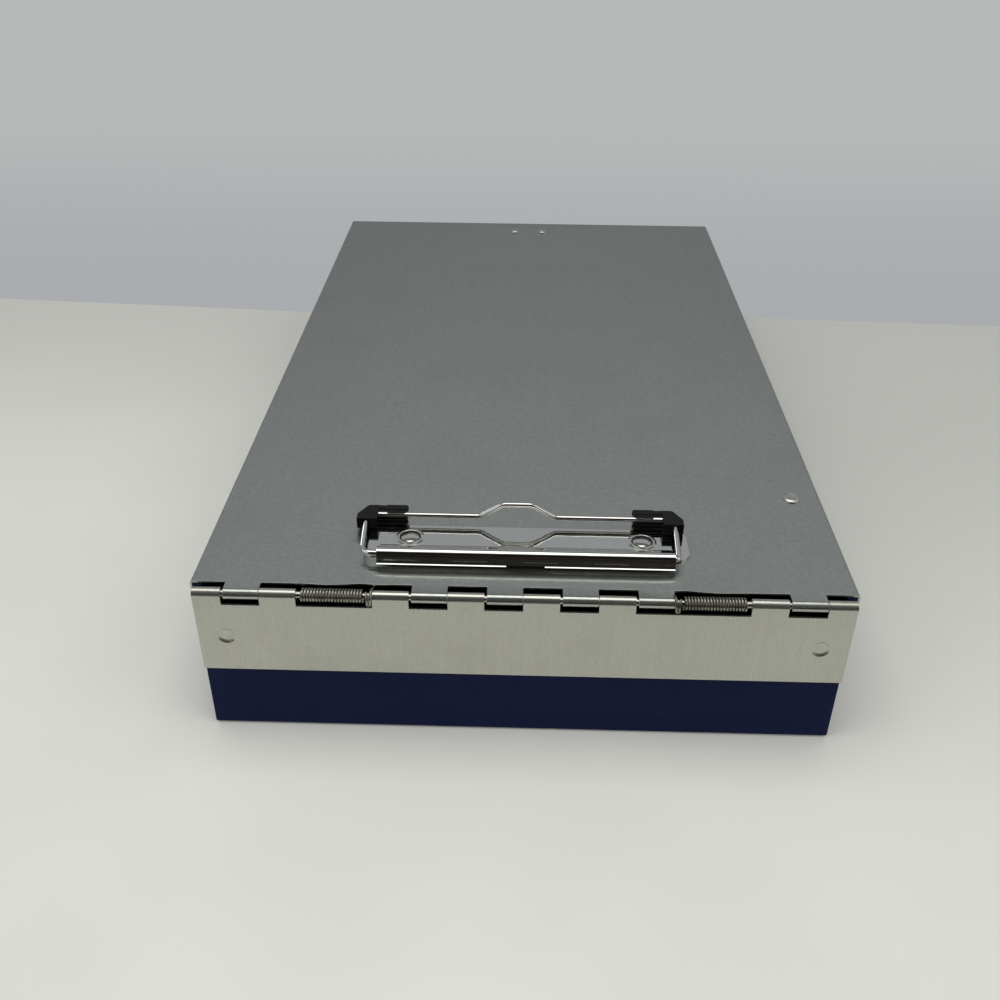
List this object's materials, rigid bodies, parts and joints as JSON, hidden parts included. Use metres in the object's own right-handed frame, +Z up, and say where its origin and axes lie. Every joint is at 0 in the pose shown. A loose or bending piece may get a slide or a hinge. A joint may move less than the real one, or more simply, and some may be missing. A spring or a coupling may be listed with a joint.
{
  "type": "storage clipboard box",
  "caption": "Flat painted metal box with a hinged bare metal lid that carries a low wire-bail paper clip; forms are stored inside.",
  "frame": {"origin": "centre of the base, on the surface that the box lies on", "axes": "+X to the right across the box, +Y from the hinge to the latch, +Z up out of the lid"},
  "size_m": [0.2266, 0.3888, 0.0718],
  "materials": {
    "painted_case": "navy blue paint, smooth and softly glossy",
    "bare_leaf": "bare sheet with a fine vertical grain",
    "brushed_lid": "bare sheet brushed along its length",
    "pin_steel": "drawn steel pin",
    "spring_wire": "dull oiled spring wire",
    "spring_strip": "rolled spring strip",
    "rivet_metal": "satin rivet heads",
    "bright_plating": "mirror-bright nickel plating",
    "black_plastic": "moulded black plastic with a fine grain"
  },
  "bodies": {
    "case": {"case_tray": "painted_case", "hinge_leaf": "bare_leaf", "leaf_rivet_left": "rivet_metal", "leaf_rivet_right": "rivet_metal", "rear_rivet_left": "painted_case", "rear_rivet_right": "painted_case", "hinge_pin": "pin_steel", "hinge_spring_left": "spring_wire", "hinge_spring_right": "spring_wire"},
    "lid": {"lid_panel": "brushed_lid", "spring_arm_left": "spring_wire", "spring_arm_right": "spring_wire", "latch_bracket": "spring_strip", "latch_rivet_left": "rivet_metal", "latch_rivet_right": "rivet_metal", "pen_clip": "spring_strip", "pen_clip_rivet": "rivet_metal", "clip_plate": "bright_plating", "clip_eyelet_left": "bright_plating", "clip_eyelet_right": "bright_plating", "clip_spring_left": "spring_wire", "clip_spring_right": "spring_wire"},
    "latch_hook": {"latch_hook": "spring_strip"},
    "bail": {"clip_bail": "bright_plating", "corner_cap_left": "black_plastic", "corner_cap_right": "black_plastic"}
  },
  "joints": [
    {"name": "lid_hinge", "type": "hinge", "parent": "case", "child": "lid", "pos_m": [0, -0.19195, 0.05905], "axis": [1, 0, 0], "range_deg": [0, 180]},
    {"name": "latch_flex", "type": "hinge", "parent": "lid", "child": "latch_hook", "pos_m": [0, 0.1887, 0.06], "axis": [-1, 0, 0], "range_deg": [0, 8], "stiffness_Nm_per_rad": 0.5},
    {"name": "bail_pivot", "type": "hinge", "parent": "lid", "child": "bail", "pos_m": [0, -0.1748, 0.0645], "axis": [1, 0, 0], "range_deg": [0, 100], "stiffness_Nm_per_rad": 0.2, "springref_deg": -45.84}
  ]
}
